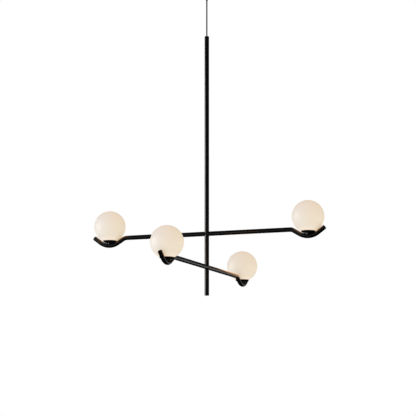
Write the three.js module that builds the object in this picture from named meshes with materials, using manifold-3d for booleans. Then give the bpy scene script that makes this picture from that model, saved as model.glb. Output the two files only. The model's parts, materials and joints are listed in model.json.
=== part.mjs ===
// Branch chandelier: a tube stem hung on a cable, two bent tube arms that cross it at a right angle,
// and an opal globe nested in the saddle at each arm end.
// Millimetres, +Z up. The origin is on the ceiling face of the bracket, over the stem's axis.
// The upper arm lies along X and the lower arm along Y.

import * as THREE from 'three';
import { mergeVertices } from 'three/addons/utils/BufferGeometryUtils.js';
import Module from 'manifold-3d';

const wasm = await Module();
wasm.setup();

// Clearances
const seatGap = 0.3; // between pieces that seat on each other
const runningGap = 0.4; // between pieces that slide, turn or screw past each other
const overrun = 5; // how far a cutter runs past what it cuts

// Tube that the stem and both arms are made of
const tubeDiameter = 20;
const tubeWall = 1.5;

// Stem heights, measured to the arm axes
const stemAboveArms = 891; // top of the stem to the upper arm's axis
const armSpacing = 147; // upper arm's axis to the lower arm's axis
const stemBelowArms = 125; // lower arm's axis to the bottom of the stem
const topCapLength = 11;
const topCapRound = 2.5;
const footCapLength = 9;
const footCapChamfer = 1.5;
const plugDepth = 13; // how far a cap's spigot goes into the tube

// Inside the stem
const rodDiameter = 6;
const rodStandOut = 3; // tie rod above the anchor plug
const rodBite = 12; // tie rod's hold in the foot cap
const anchorRise = 40; // upper arm's axis to the underside of the anchor plug
const anchorLength = 15;
const spliceRise = 85; // upper arm's axis to the underside of the splice block
const spliceLength = 30;
const spliceClearance = 1.2; // splice block to the stem's bore
const leadOffset = 5.4; // stem's axis to the axis of each lead
const wireway = 7.4; // radius of the passage through an arm at the stem

// Arms: bend table of each end, from the stem outwards
const lampReach = 465; // stem's axis to the lamp's axis
const saddleDrop = 31.3; // arm's axis down to the lowest point of the saddle's centre line
const shoulderRadius = 36;
const saddleRadius = 76;
const slopeDownDegrees = 31;
const slopeUpDegrees = 36.5;
const tipLength = 37; // straight tube past the saddle's bend
const tipPlugFlange = 1.6;
const tipPlugChamfer = 0.5;
const tipPlugDepth = 8;

// Cable and wiring
const cableDiameter = 6;
const exposedCable = 162; // canopy collar to the stem's top cap
const cableStub = 0.8; // cable above the cord grip
const coreBundleDiameter = 3.6; // cores bundled on their way to the terminal block
const coreBite = 5; // how far they go into the terminal block
const tailBendShare = 0.7; // of the rise from the cord grip to the terminal block
const leadDiameter = 2.4;
const leadLampBend = 6;
const leadStemBend = 5;

// Ceiling bracket and hanger stirrup
const bracketLength = 96;
const bracketWidth = 22;
const bracketThickness = 2;
const slotPitch = 70;
const slotLength = 14;
const slotWidth = 5;
const tabReach = 40; // stem's axis to the end of the terminal block's tab
const tabWidth = 34;
const stirrupSpan = 34;
const stirrupFoot = 7;
const stirrupDrop = 20;
const stirrupStrip = 16;
const stirrupThickness = 2;

// Cord grip under the stirrup
const gripFlats = 17;
const gripHeight = 10;
const gripNeckDiameter = 10;
const gripNeckRise = 3.5;

// Terminal block
const terminalLength = 30;
const terminalDepth = 16;
const terminalHeight = 13;
const terminalBase = 6;
const terminalTowerDiameter = 8;
const terminalBoreDiameter = 4.4;
const terminalShoulderShare = 0.75; // of the block's height

// Canopy and the tapered collar that clamps it on the cable
const canopyDiameter = 120;
const canopyDepth = 36;
const canopyWall = 1.2;
const canopyEdge = 7;
const ceilingGap = 0.5;
const collarDiameter = 16;
const collarLength = 26; // with its tapered strain relief
const collarGrip = 12; // straight part that holds the screw
const collarTipDiameter = 9.6; // lower end of the taper
const collarChamfer = 0.6;
const collarSpigotDiameter = 10;
const collarSpigotStandOut = 1.2; // above the canopy's floor
const collarScrewDiameter = 3;

// Lamp: pieces stacked on the saddle
const nippleDiameter = 10;
const nippleBore = 5;
const nippleTail = 1; // inside the arm's bore
const washerDiameter = 16;
const washerRise = 1.3; // above the arm's top line
const washerSkirt = 3; // below it, over the sides of the tube
const dishDiameter = 65;
const dishDepth = 10.1;
const dishWall = 1.2;
const dishFloorDiameter = 18;
const nutFlats = 14;
const nutThickness = 3;
const holderBaseDiameter = 24;
const holderBaseHeight = 3;
const holderBoreDepth = 4;
const holderSkirtDiameter = 31;
const holderSkirtHeight = 6;
const holderBodyDiameter = 19;
const holderBodyHeight = 14;
const pinSpacing = 9;
const pinWidth = 2;
const pinThickness = 1;
const pinLength = 12;
const bulbDiameter = 16;
const bulbLength = 38;
const bulbBase = 8; // plain base below the lens

// Globe and the threaded ring bonded in its mouth
const globeDiameter = 140;
const glassWall = 3;
const mouthDiameter = 44;
const ringFlangeDiameter = 47;
const ringFlangeThickness = 1.7;
const ringRise = 5.3; // above the flange, inside the glass

// Facets
const tubeSides = 16;
const armBoreSides = 8;
const smallSides = 12;
const holeSides = 6;
const nippleSides = 8;
const cableSides = 8;
const cableSteps = 14;
const leadSides = 6;
const roundSides = 18;
const canopySides = 24;
const globeSides = 22;

// Sizes that follow from those above
const radians = Math.PI / 180;
const slopeDown = slopeDownDegrees * radians;
const slopeUp = slopeUpDegrees * radians;
const tubeRadius = tubeDiameter / 2;
const boreRadius = tubeRadius - tubeWall;
const plugRadius = boreRadius - seatGap;
const tipSpigotRadius = boreRadius * Math.cos(Math.PI / armBoreSides) - seatGap;
const cableRadius = cableDiameter / 2;
const cableBore = cableRadius + runningGap;
const rodRadius = rodDiameter / 2;
const leadRadius = leadDiameter / 2;
const nippleHole = nippleDiameter / 2 + seatGap;

// Heights on the stem's axis
const bridgeUnder = -bracketThickness - seatGap - stirrupDrop;
const gripTop = bridgeUnder + stirrupThickness + gripNeckRise;
const cableTop = gripTop + cableStub;
const collarTop = -canopyDepth - seatGap;
const stemTop = collarTop - collarLength - exposedCable;
const upperArmHeight = stemTop - stemAboveArms;
const lowerArmHeight = upperArmHeight - armSpacing;
const stemBottom = lowerArmHeight - stemBelowArms;
const topCapUnder = stemTop - topCapLength;
const spigotUnder = topCapUnder - plugDepth;
const footCapTop = stemBottom + footCapLength;
const rodBottom = footCapTop + plugDepth - rodBite;
const anchorUnder = upperArmHeight + anchorRise;
const spliceUnder = upperArmHeight + spliceRise;

// Heights on a lamp's axis, above the top line of the tube at the saddle
const dishFloor = washerRise + seatGap;
const dishRim = dishFloor + dishDepth;
const nutUnder = dishFloor + dishWall + seatGap;
const holderUnder = nutUnder + nutThickness + seatGap;
const skirtUnder = holderUnder + holderBaseHeight;
const skirtTop = skirtUnder + holderSkirtHeight;
const holderTop = skirtTop + holderBodyHeight;
const bulbUnder = holderTop + seatGap;
const nippleTop = holderUnder + holderBoreDepth - seatGap;

// The dish's bowl is an arc that leaves its flat floor level and ends at the rim.
const bowlWidth = (dishDiameter - dishFloorDiameter) / 2;
const bowlRadius = (bowlWidth ** 2 + dishDepth ** 2) / (2 * dishDepth);
const bowlInside = bowlRadius - dishWall;
const insideOfBowl = (radius) =>
  dishFloor + bowlRadius - Math.sqrt(bowlInside ** 2 - (radius - dishFloorDiameter / 2) ** 2);

const ringUnder = insideOfBowl(ringFlangeDiameter / 2) + seatGap;
const ringFlangeTop = ringUnder + ringFlangeThickness;
const glassRadius = globeDiameter / 2;
const mouthRadius = mouthDiameter / 2;
const globeCentre = ringFlangeTop + seatGap + Math.sqrt(glassRadius ** 2 - mouthRadius ** 2);

// Straight tube between the two bends that take an arm down into its saddle
const slopeRun =
  (saddleDrop - (shoulderRadius + saddleRadius) * (1 - Math.cos(slopeDown))) / Math.sin(slopeDown);
const shoulderReach =
  lampReach - (shoulderRadius + saddleRadius) * Math.sin(slopeDown) - slopeRun * Math.cos(slopeDown);

// Materials
const finishes = {
  satinBlack: { color: 0x14120f, roughness: 0.38, metalness: 0.55 },
  cableBlack: { color: 0x171717, roughness: 0.75, metalness: 0 },
  plasticBlack: { color: 0x1a1a1a, roughness: 0.6, metalness: 0 },
  zincSteel: { color: 0xa9acae, roughness: 0.4, metalness: 0.9 },
  brass: { color: 0xb08d4f, roughness: 0.35, metalness: 0.9 },
  opalGlass: { color: 0xf0e6d8, roughness: 0.22, metalness: 0 },
  ceramic: { color: 0xe9e6df, roughness: 0.45, metalness: 0 },
  bulbWhite: { color: 0xf6efe0, roughness: 0.4, metalness: 0 },
  polyamide: { color: 0xdcdcd6, roughness: 0.6, metalness: 0 },
  wireWhite: { color: 0xd9d6cf, roughness: 0.6, metalness: 0 },
};

const piece = (name, geometry, finish) => {
  const mesh = new THREE.Mesh(geometry, new THREE.MeshStandardMaterial(finishes[finish]));
  mesh.name = name;
  return mesh;
};

const groupOf = (...members) => {
  const group = new THREE.Group();
  group.add(...members);
  return group;
};

// A closed surface with its shared vertices merged and its empty triangles left out
function welded(geometry) {
  const bare = geometry.clone();
  bare.deleteAttribute('normal');
  bare.deleteAttribute('uv');
  const merged = mergeVertices(bare);
  const corners = merged.index.array;
  const kept = [];
  for (let i = 0; i < corners.length; i += 3) {
    const [a, b, c] = [corners[i], corners[i + 1], corners[i + 2]];
    if (a !== b && b !== c && c !== a) kept.push(a, b, c);
  }
  merged.setIndex(kept);
  return merged;
}

function finished(geometry) {
  const faceted = geometry.index ? geometry.toNonIndexed() : geometry;
  faceted.computeVertexNormals();
  return faceted;
}

function solidOf(geometry) {
  const merged = welded(geometry);
  const vertProperties = new Float32Array(merged.attributes.position.array);
  const triVerts = new Uint32Array(merged.index.array);
  return new wasm.Manifold(new wasm.Mesh({ numProp: 3, vertProperties, triVerts }));
}

function geometryOf(solid) {
  const mesh = solid.getMesh();
  const geometry = new THREE.BufferGeometry();
  geometry.setAttribute('position', new THREE.BufferAttribute(new Float32Array(mesh.vertProperties), 3));
  geometry.setIndex(new THREE.BufferAttribute(new Uint32Array(mesh.triVerts), 1));
  return finished(geometry);
}

const cut = (body, ...cutters) =>
  geometryOf(cutters.reduce((solid, cutter) => solid.subtract(solidOf(cutter)), solidOf(body)));

const joined = (body, ...others) =>
  geometryOf(others.reduce((solid, other) => solid.add(solidOf(other)), solidOf(body)));

// A regular polygon with a corner on the first axis
function polygonPoints(radius, sides) {
  return Array.from({ length: sides }, (_, i) => {
    const angle = (2 * Math.PI * i) / sides;
    return new THREE.Vector2(radius * Math.cos(angle), radius * Math.sin(angle));
  });
}

function section(radius, bore, sides, boreSides = sides) {
  const shape = new THREE.Shape(polygonPoints(radius, sides));
  if (bore > 0) shape.holes.push(new THREE.Path(polygonPoints(bore, boreSides)));
  return shape;
}

// An upright bar or tube between two heights
function upright(radius, bore, sides, from, to, boreSides) {
  const bar = new THREE.ExtrudeGeometry(section(radius, bore, sides, boreSides), {
    depth: to - from,
    bevelEnabled: false,
  });
  return bar.translate(0, 0, from);
}

const hexRadius = (flats) => flats / 2 / Math.cos(Math.PI / 6);

// A turned piece: [radius, height] pairs that run anticlockwise round its half section
function turned(profile, sides = roundSides) {
  const points = profile.map(([radius, height]) => new THREE.Vector2(radius, height));
  const geometry = new THREE.LatheGeometry(points, sides).rotateX(Math.PI / 2);
  return finished(welded(geometry));
}

// Points of an arc in a half section, both ends included
function arc(centreRadius, centreHeight, radius, from, to, steps) {
  return Array.from({ length: steps + 1 }, (_, i) => {
    const angle = from + ((to - from) * i) / steps;
    return [centreRadius + radius * Math.cos(angle), centreHeight + radius * Math.sin(angle)];
  });
}

// A tube bender's route in the XZ plane: straight runs, and bends that turn left if their angle is positive
class Route extends THREE.Curve {
  constructor(x, z, heading, moves) {
    super();
    this.legs = [];
    this.steps = 0;
    for (const move of moves) {
      const steps = move.steps ?? 1;
      const leg = { x, z, heading, ...move, steps, first: this.steps };
      this.legs.push(leg);
      [x, z, heading] = this.along(leg, 1);
      this.steps += steps;
    }
  }

  along({ x, z, heading, run, bend, radius }, share) {
    if (run !== undefined)
      return [x + run * share * Math.cos(heading), z + run * share * Math.sin(heading), heading];
    const side = Math.sign(bend);
    const turnedTo = heading + bend * share;
    return [
      x + side * radius * (Math.sin(turnedTo) - Math.sin(heading)),
      z - side * radius * (Math.cos(turnedTo) - Math.cos(heading)),
      turnedTo,
    ];
  }

  at(t) {
    const step = Math.min(Math.max(t * this.steps, 0), this.steps);
    const leg = this.legs.findLast(({ first }) => first <= step) ?? this.legs[0];
    return this.along(leg, Math.min((step - leg.first) / leg.steps, 1));
  }

  getPoint(t, target = new THREE.Vector3()) {
    const [x, z] = this.at(t);
    return target.set(x, 0, z);
  }

  getTangent(t, target = new THREE.Vector3()) {
    const [, , heading] = this.at(t);
    return target.set(Math.cos(heading), 0, Math.sin(heading));
  }

  // Stations lie where the bends need them, not at even lengths.
  getUtoTmapping(u) {
    return u;
  }
}

const swept = (route, radius, bore, sides, boreSides) =>
  new THREE.ExtrudeGeometry(section(radius, bore, sides, boreSides), {
    extrudePath: route,
    steps: route.steps,
    bevelEnabled: false,
  });

// Ceiling fitting

function ceilingBracket() {
  const outline = new THREE.Shape();
  const [halfLength, halfWidth, halfTab] = [bracketLength / 2, bracketWidth / 2, tabWidth / 2];
  outline.absarc(halfLength - halfWidth, 0, halfWidth, -Math.PI / 2, Math.PI / 2);
  outline.lineTo(halfTab, halfWidth);
  outline.lineTo(halfTab, tabReach);
  outline.lineTo(-halfTab, tabReach);
  outline.lineTo(-halfTab, halfWidth);
  outline.absarc(halfWidth - halfLength, 0, halfWidth, Math.PI / 2, (3 * Math.PI) / 2);
  outline.closePath();
  for (const side of [-1, 1]) {
    const slot = new THREE.Path();
    const [centre, end] = [(side * slotPitch) / 2, (slotLength - slotWidth) / 2];
    slot.absarc(centre + end, 0, slotWidth / 2, -Math.PI / 2, Math.PI / 2);
    slot.absarc(centre - end, 0, slotWidth / 2, Math.PI / 2, (3 * Math.PI) / 2);
    slot.closePath();
    outline.holes.push(slot);
  }
  const plate = new THREE.ExtrudeGeometry(outline, {
    depth: bracketThickness,
    bevelEnabled: false,
    curveSegments: 4,
  });
  plate.translate(0, 0, -bracketThickness);
  return piece('ceiling_bracket', finished(welded(plate)), 'zincSteel');
}

// Bent strip that hangs the cord grip under the bracket
function hangerStirrup() {
  const [half, foot, strip] = [stirrupSpan / 2, stirrupFoot, stirrupThickness];
  const top = -bracketThickness - seatGap;
  const outer = [
    [half + foot, top],
    [half - strip, top],
    [half - strip, bridgeUnder + strip],
  ];
  const inner = [
    [half, bridgeUnder],
    [half, top - strip],
    [half + foot, top - strip],
  ];
  const mirrored = (points) => points.map(([x, z]) => [-x, z]).reverse();
  const outline = [...outer, ...mirrored(outer), ...mirrored(inner), ...inner];
  const shape = new THREE.Shape(outline.map(([x, z]) => new THREE.Vector2(x, z)));
  const strap = new THREE.ExtrudeGeometry(shape, { depth: stirrupStrip, bevelEnabled: false });
  strap.translate(0, 0, -stirrupStrip / 2).rotateX(Math.PI / 2);
  const hole = upright(
    gripNeckDiameter / 2 + seatGap,
    0,
    smallSides,
    bridgeUnder - overrun,
    bridgeUnder + stirrupThickness + overrun,
  );
  return piece('hanger_stirrup', cut(strap, hole), 'zincSteel');
}

function cordGrip() {
  const top = bridgeUnder - seatGap;
  const body = upright(hexRadius(gripFlats), 0, 6, top - gripHeight, top);
  const neck = upright(gripNeckDiameter / 2, 0, smallSides, top - gripHeight / 2, gripTop);
  const bore = upright(cableBore, 0, smallSides, top - gripHeight - overrun, gripTop + overrun);
  const grip = solidOf(body).add(solidOf(neck)).subtract(solidOf(bore));
  return piece('cord_grip', geometryOf(grip), 'brass');
}

const terminalTop = -bracketThickness - seatGap;
const terminalBoreHeight = terminalTop - terminalHeight / 2;

// Three-pole block: a low bar with a round tower over each pole, hung towers down from the bracket's tab
function terminalBlock() {
  const pitch = terminalLength / 3;
  const towerRadius = terminalTowerDiameter / 2;
  const shoulderHeight = terminalHeight * terminalShoulderShare;
  const bar = new THREE.BoxGeometry(terminalLength, terminalDepth, terminalBase);
  bar.translate(0, tabReach - terminalDepth / 2, terminalTop - terminalBase / 2);
  const poles = [-1, 0, 1].map((pole) => pole * pitch);
  const towers = poles.map((x) => {
    const tower = upright(towerRadius, 0, holeSides, terminalTop - terminalHeight, terminalTop - seatGap);
    return tower.translate(x, tabReach - terminalDepth / 2, 0);
  });
  const shoulders = poles.map((x) => {
    const shoulder = new THREE.BoxGeometry(terminalTowerDiameter, terminalDepth, shoulderHeight);
    return shoulder.translate(x, tabReach - terminalDepth / 2, terminalTop - (shoulderHeight + seatGap) / 2);
  });
  const bores = poles.map((x) => {
    const bore = upright(terminalBoreDiameter / 2, 0, holeSides, -overrun, terminalDepth + overrun);
    return bore.rotateX(-Math.PI / 2).translate(x, tabReach - terminalDepth, terminalBoreHeight);
  });
  const block = [...towers, ...shoulders].reduce((solid, part) => solid.add(solidOf(part)), solidOf(bar));
  const bored = bores.reduce((solid, bore) => solid.subtract(solidOf(bore)), block);
  return piece('terminal_block', geometryOf(bored), 'polyamide');
}

function cableTail() {
  const start = cableTop + seatGap;
  const rise = terminalBoreHeight - start;
  const radius = rise * tailBendShare;
  const reach = tabReach - terminalDepth + coreBite - radius;
  const route = new Route(0, start, Math.PI / 2, [
    { run: rise - radius },
    { bend: -Math.PI / 2, radius, steps: 4 },
    { run: reach },
  ]);
  const tail = piece('cable_tail', swept(route, coreBundleDiameter / 2, 0, holeSides), 'wireWhite');
  tail.rotation.z = Math.PI / 2;
  return tail;
}

function supplyCable() {
  const route = new Route(0, cableTop, -Math.PI / 2, [
    { run: cableTop - spigotUnder, steps: cableSteps },
  ]);
  return piece('supply_cable', swept(route, cableRadius, 0, cableSides), 'cableBlack');
}

function canopyCup() {
  const radius = canopyDiameter / 2;
  const floorHole = collarSpigotDiameter / 2 + seatGap;
  const floorTop = canopyWall - canopyDepth;
  const profile = [
    [floorHole, -canopyDepth],
    ...arc(radius - canopyEdge, canopyEdge - canopyDepth, canopyEdge, -Math.PI / 2, 0, 3),
    [radius, -ceilingGap],
    [radius - canopyWall, -ceilingGap],
    ...arc(radius - canopyEdge, canopyEdge - canopyDepth, canopyEdge - canopyWall, 0, -Math.PI / 2, 2),
    [floorHole, floorTop],
    [floorHole, -canopyDepth],
  ];
  return piece('canopy_cup', turned(profile, canopySides), 'satinBlack');
}

const collarScrewHeight = collarTop - collarGrip / 2;

function canopyCollar() {
  const [radius, spigot, tip] = [collarDiameter, collarSpigotDiameter, collarTipDiameter].map((d) => d / 2);
  const bottom = collarTop - collarLength;
  const profile = [
    [cableBore, bottom],
    [tip - collarChamfer, bottom],
    [tip, bottom + collarChamfer],
    [radius, collarTop - collarGrip],
    [radius, collarTop],
    [spigot, collarTop],
    [spigot, canopyWall - canopyDepth + collarSpigotStandOut],
    [cableBore, canopyWall - canopyDepth + collarSpigotStandOut],
    [cableBore, bottom],
  ];
  const hole = upright(collarScrewDiameter / 2 + seatGap, 0, holeSides, 0, radius + overrun);
  hole.rotateX(-Math.PI / 2).translate(0, 0, collarScrewHeight);
  return piece('canopy_collar', cut(turned(profile, tubeSides), hole), 'satinBlack');
}

function collarScrew() {
  const screw = upright(
    collarScrewDiameter / 2,
    0,
    holeSides,
    cableRadius + seatGap,
    collarDiameter / 2 - seatGap,
  );
  screw.rotateX(-Math.PI / 2).translate(0, 0, collarScrewHeight);
  return piece('collar_screw', finished(screw), 'zincSteel');
}

// Arm: one tube bent at both ends, bored through at the stem and drilled in each saddle

const sideways = Math.PI / 2;
const tipX = saddleRadius * Math.sin(slopeUp) + tipLength * Math.cos(slopeUp);
const tipZ = saddleRadius * (1 - Math.cos(slopeUp)) + tipLength * Math.sin(slopeUp) - saddleDrop;
const tubeEnd = tipLength - tipPlugFlange - seatGap; // straight tube short of the plug's flange

const armRoute = new Route(
  -lampReach - tipX + (tipPlugFlange + seatGap) * Math.cos(slopeUp),
  tipZ - (tipPlugFlange + seatGap) * Math.sin(slopeUp),
  -slopeUp,
  [
    { run: tubeEnd },
    { bend: slopeUp + slopeDown, radius: saddleRadius, steps: 7 },
    { run: slopeRun },
    { bend: -slopeDown, radius: shoulderRadius, steps: 3 },
    { run: 2 * shoulderReach },
    { bend: -slopeDown, radius: shoulderRadius, steps: 3 },
    { run: slopeRun },
    { bend: slopeDown + slopeUp, radius: saddleRadius, steps: 7 },
    { run: tubeEnd },
  ],
);

const saddleTop = tubeRadius - saddleDrop; // top line of the tube at the saddle, from the arm's axis

function armTube() {
  const passage = upright(wireway, 0, tubeSides, -tubeRadius - overrun, tubeRadius + overrun);
  const drillings = [-1, 1].map((side) => {
    const drilling = upright(nippleHole, 0, nippleSides, -tubeRadius, overrun);
    return drilling.translate(side * lampReach, 0, saddleTop);
  });
  return cut(swept(armRoute, tubeRadius, boreRadius, tubeSides, armBoreSides), passage, ...drillings);
}

// Solid bar a seat's gap larger than the arm, which shapes whatever sits on the arm
const armCutter = swept(armRoute, tubeRadius + seatGap, 0, tubeSides);

function tipPlug() {
  const profile = [
    [0, -tipPlugDepth],
    [tipSpigotRadius, -tipPlugDepth],
    [tipSpigotRadius, 0],
    [tubeRadius, 0],
    [tubeRadius, tipPlugFlange - tipPlugChamfer],
    [tubeRadius - tipPlugChamfer, tipPlugFlange],
    [0, tipPlugFlange],
  ];
  return turned(profile, tubeSides);
}

// Pieces of a lamp, made once and used at each of the four arm ends

function saddleWasher() {
  const washer = upright(washerDiameter / 2, nippleHole, smallSides, -washerSkirt, washerRise, nippleSides);
  return cut(washer, armCutter.clone().translate(-lampReach, 0, -saddleTop));
}

const nipple = () =>
  finished(
    upright(nippleDiameter / 2, nippleBore / 2, nippleSides, -tubeWall - nippleTail, nippleTop),
  );

function dish() {
  const floorRadius = dishFloorDiameter / 2;
  const centre = dishFloor + bowlRadius;
  const rimAngle = (radius) => -Math.asin((bowlRadius - dishDepth) / radius);
  const profile = [
    [nippleHole, dishFloor],
    ...arc(floorRadius, centre, bowlRadius, -Math.PI / 2, rimAngle(bowlRadius), 4),
    ...arc(floorRadius, centre, bowlInside, rimAngle(bowlInside), -Math.PI / 2, 3),
    [nippleHole, dishFloor + dishWall],
    [nippleHole, dishFloor],
  ];
  return turned(profile);
}

function dishNut() {
  const hex = upright(hexRadius(nutFlats), 0, 6, nutUnder, nutUnder + nutThickness);
  const hole = upright(nippleHole, 0, nippleSides, nutUnder - overrun, nutUnder + nutThickness + overrun);
  return cut(hex, hole);
}

// Ceramic holder with a threaded skirt for the globe's ring and two slots for the bulb's pins
function lampholder() {
  const [base, skirt, body] = [holderBaseDiameter, holderSkirtDiameter, holderBodyDiameter].map((d) => d / 2);
  const profile = [
    [0, holderUnder + holderBoreDepth],
    [nippleHole, holderUnder + holderBoreDepth],
    [nippleHole, holderUnder],
    [base, holderUnder],
    [base, skirtUnder],
    [skirt, skirtUnder],
    [skirt, skirtTop],
    [body, skirtTop],
    [body, holderTop],
    [0, holderTop],
  ];
  const depth = pinLength + runningGap + overrun;
  const slots = [-1, 1].map((side) => {
    const slot = new THREE.BoxGeometry(pinWidth + 2 * runningGap, pinThickness + 2 * runningGap, depth);
    return slot.translate((side * pinSpacing) / 2, 0, holderTop + overrun - depth / 2);
  });
  return cut(turned(profile, smallSides), ...slots);
}

// Plug-in bulb: a base with two flat pins under a domed lens
function bulb() {
  const radius = bulbDiameter / 2;
  const domeCentre = bulbUnder + bulbLength - radius;
  const profile = [
    [0, bulbUnder],
    [radius, bulbUnder],
    [radius, bulbUnder + bulbBase],
    ...arc(0, domeCentre, radius, 0, Math.PI / 2, 3),
  ];
  const length = pinLength + bulbBase / 2;
  const pins = [-1, 1].map((side) => {
    const pin = new THREE.BoxGeometry(pinWidth, pinThickness, length);
    return pin.translate((side * pinSpacing) / 2, 0, bulbUnder - pinLength + length / 2);
  });
  return joined(turned(profile, smallSides), ...pins);
}

function globe() {
  const inside = glassRadius - glassWall;
  const mouthAngle = (radius) => -Math.acos(mouthRadius / radius);
  const profile = [
    ...arc(0, globeCentre, glassRadius, mouthAngle(glassRadius), Math.PI / 2, 10),
    ...arc(0, globeCentre, inside, Math.PI / 2, mouthAngle(inside), 4),
    [mouthRadius, globeCentre - Math.sqrt(glassRadius ** 2 - mouthRadius ** 2)],
  ];
  return turned(profile, globeSides);
}

// Ring bonded in the globe's mouth; its bore screws down over the lampholder's skirt
function neckRing() {
  const [bore, body] = [holderSkirtDiameter / 2 + runningGap, mouthRadius - seatGap];
  const flange = ringFlangeDiameter / 2;
  const profile = [
    [bore, ringUnder],
    [flange, ringUnder],
    [flange, ringFlangeTop],
    [body, ringFlangeTop],
    [body, ringFlangeTop + ringRise],
    [bore, ringFlangeTop + ringRise],
    [bore, ringUnder],
  ];
  return turned(profile);
}

// Lead from the lampholder down the nipple, back along the arm and up the stem to the splice block
function lead(rise) {
  const start = saddleTop + nippleTop;
  const reach = shoulderReach - leadLampBend - leadOffset - leadStemBend;
  const route = new Route(lampReach, start, -sideways, [
    { run: start + saddleDrop - leadLampBend },
    { bend: -sideways, radius: leadLampBend, steps: 3 },
    { bend: -slopeDown, radius: saddleRadius, steps: 3 },
    { run: slopeRun },
    { bend: slopeDown, radius: shoulderRadius, steps: 2 },
    { run: reach },
    { bend: -sideways, radius: leadStemBend, steps: 3 },
    { run: rise - leadStemBend - seatGap },
  ]);
  return swept(route, leadRadius, 0, leadSides);
}

const lampShapes = {
  saddle_washer: [saddleWasher(), 'satinBlack'],
  nipple: [nipple(), 'zincSteel'],
  dish: [dish(), 'satinBlack'],
  dish_nut: [dishNut(), 'zincSteel'],
  lampholder: [lampholder(), 'ceramic'],
  bulb: [bulb(), 'bulbWhite'],
  globe: [globe(), 'opalGlass'],
  neck_ring: [neckRing(), 'plasticBlack'],
};

// One end of an arm, along +X: tip plug, lead and lamp
function armEnd(side, leadShape) {
  const plug = piece(`tip_plug_${side}`, tipPlug(), 'satinBlack');
  plug.position.set(
    lampReach + tipX - tipPlugFlange * Math.cos(slopeUp),
    0,
    tipZ - tipPlugFlange * Math.sin(slopeUp),
  );
  plug.rotation.y = Math.PI / 2 - slopeUp;
  const lamp = groupOf(
    ...Object.entries(lampShapes).map(([name, [shape, finish]]) =>
      piece(`${name}_${side}`, shape.clone(), finish),
    ),
  );
  lamp.position.set(lampReach, 0, saddleTop);
  return groupOf(plug, piece(`lead_${side}`, leadShape, 'wireWhite'), lamp);
}

function arm(name, height, turn, [outward, opposite]) {
  const leadShape = lead(spliceUnder - height);
  const far = armEnd(opposite, leadShape.clone());
  far.rotation.z = Math.PI;
  const group = groupOf(piece(name, armTube(), 'satinBlack'), armEnd(outward, leadShape), far);
  group.position.z = height;
  group.rotation.z = turn;
  return group;
}

// Stem: three tube lengths with fish-mouth ends that sit on the arms, clamped by a rod from the foot cap

const upperCutter = armCutter.clone().translate(0, 0, upperArmHeight);
const lowerCutter = armCutter.clone().rotateZ(sideways).translate(0, 0, lowerArmHeight);

function stemTube(name, from, to, ...cutters) {
  const tube = upright(tubeRadius, boreRadius, tubeSides, from, to);
  return piece(name, cutters.length ? cut(tube, ...cutters) : finished(tube), 'satinBlack');
}

function stemTopCap() {
  const profile = [
    [cableBore, spigotUnder],
    [plugRadius, spigotUnder],
    [plugRadius, topCapUnder],
    [tubeRadius, topCapUnder],
    ...arc(tubeRadius - topCapRound, stemTop - topCapRound, topCapRound, 0, Math.PI / 2, 2),
    [cableBore, stemTop],
    [cableBore, spigotUnder],
  ];
  return piece('stem_top_cap', turned(profile, tubeSides), 'satinBlack');
}

function stemFootCap() {
  const pocket = rodRadius + seatGap;
  const profile = [
    [0, stemBottom],
    [tubeRadius - footCapChamfer, stemBottom],
    [tubeRadius, stemBottom + footCapChamfer],
    [tubeRadius, footCapTop],
    [plugRadius, footCapTop],
    [plugRadius, footCapTop + plugDepth],
    [pocket, footCapTop + plugDepth],
    [pocket, rodBottom - seatGap],
    [0, rodBottom - seatGap],
  ];
  return piece('stem_foot_cap', turned(profile, tubeSides), 'satinBlack');
}

// Plug brazed in the upper tube: the rod screws into its middle and the four leads pass round it
function anchorPlug() {
  const [from, to] = [anchorUnder, anchorUnder + anchorLength];
  const leadHoles = [0, 1, 2, 3].map((quarter) => {
    const hole = upright(leadRadius + seatGap, 0, holeSides, from - overrun, to + overrun);
    return hole.translate(leadOffset, 0, 0).rotateZ(quarter * sideways);
  });
  const plug = upright(plugRadius, rodRadius + seatGap, tubeSides, from, to);
  return piece('anchor_plug', cut(plug, ...leadHoles), 'brass');
}

const tieRod = () =>
  piece(
    'tie_rod',
    finished(upright(rodRadius, 0, smallSides, rodBottom, anchorUnder + anchorLength + rodStandOut)),
    'zincSteel',
  );

const spliceBlock = () =>
  piece(
    'splice_block',
    finished(upright(boreRadius - spliceClearance, 0, smallSides, spliceUnder, spliceUnder + spliceLength)),
    'polyamide',
  );

const stemCable = () =>
  piece(
    'stem_cable',
    finished(
      upright(cableRadius, 0, holeSides, spliceUnder + spliceLength + seatGap, spigotUnder - seatGap),
    ),
    'cableBlack',
  );

const chandelier = groupOf(
  ceilingBracket(),
  hangerStirrup(),
  cordGrip(),
  terminalBlock(),
  cableTail(),
  supplyCable(),
  canopyCup(),
  canopyCollar(),
  collarScrew(),
  stemTopCap(),
  stemTube('stem_upper_tube', upperArmHeight, topCapUnder - seatGap, upperCutter),
  stemTube('stem_middle_tube', lowerArmHeight, upperArmHeight, upperCutter, lowerCutter),
  stemTube('stem_lower_tube', footCapTop + seatGap, lowerArmHeight, lowerCutter),
  stemFootCap(),
  anchorPlug(),
  tieRod(),
  spliceBlock(),
  stemCable(),
  arm('upper_arm_tube', upperArmHeight, 0, ['right', 'left']),
  arm('lower_arm_tube', lowerArmHeight, sideways, ['back', 'front']),
);
chandelier.name = 'branch_chandelier';

export default chandelier;
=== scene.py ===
"""Looks of a branch chandelier: bent tube arms that cross a stem, an opal globe in each saddle.

Lengths are in metres and +Z is up. The origin is on the ceiling, over the axis of the stem.
"""

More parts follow.
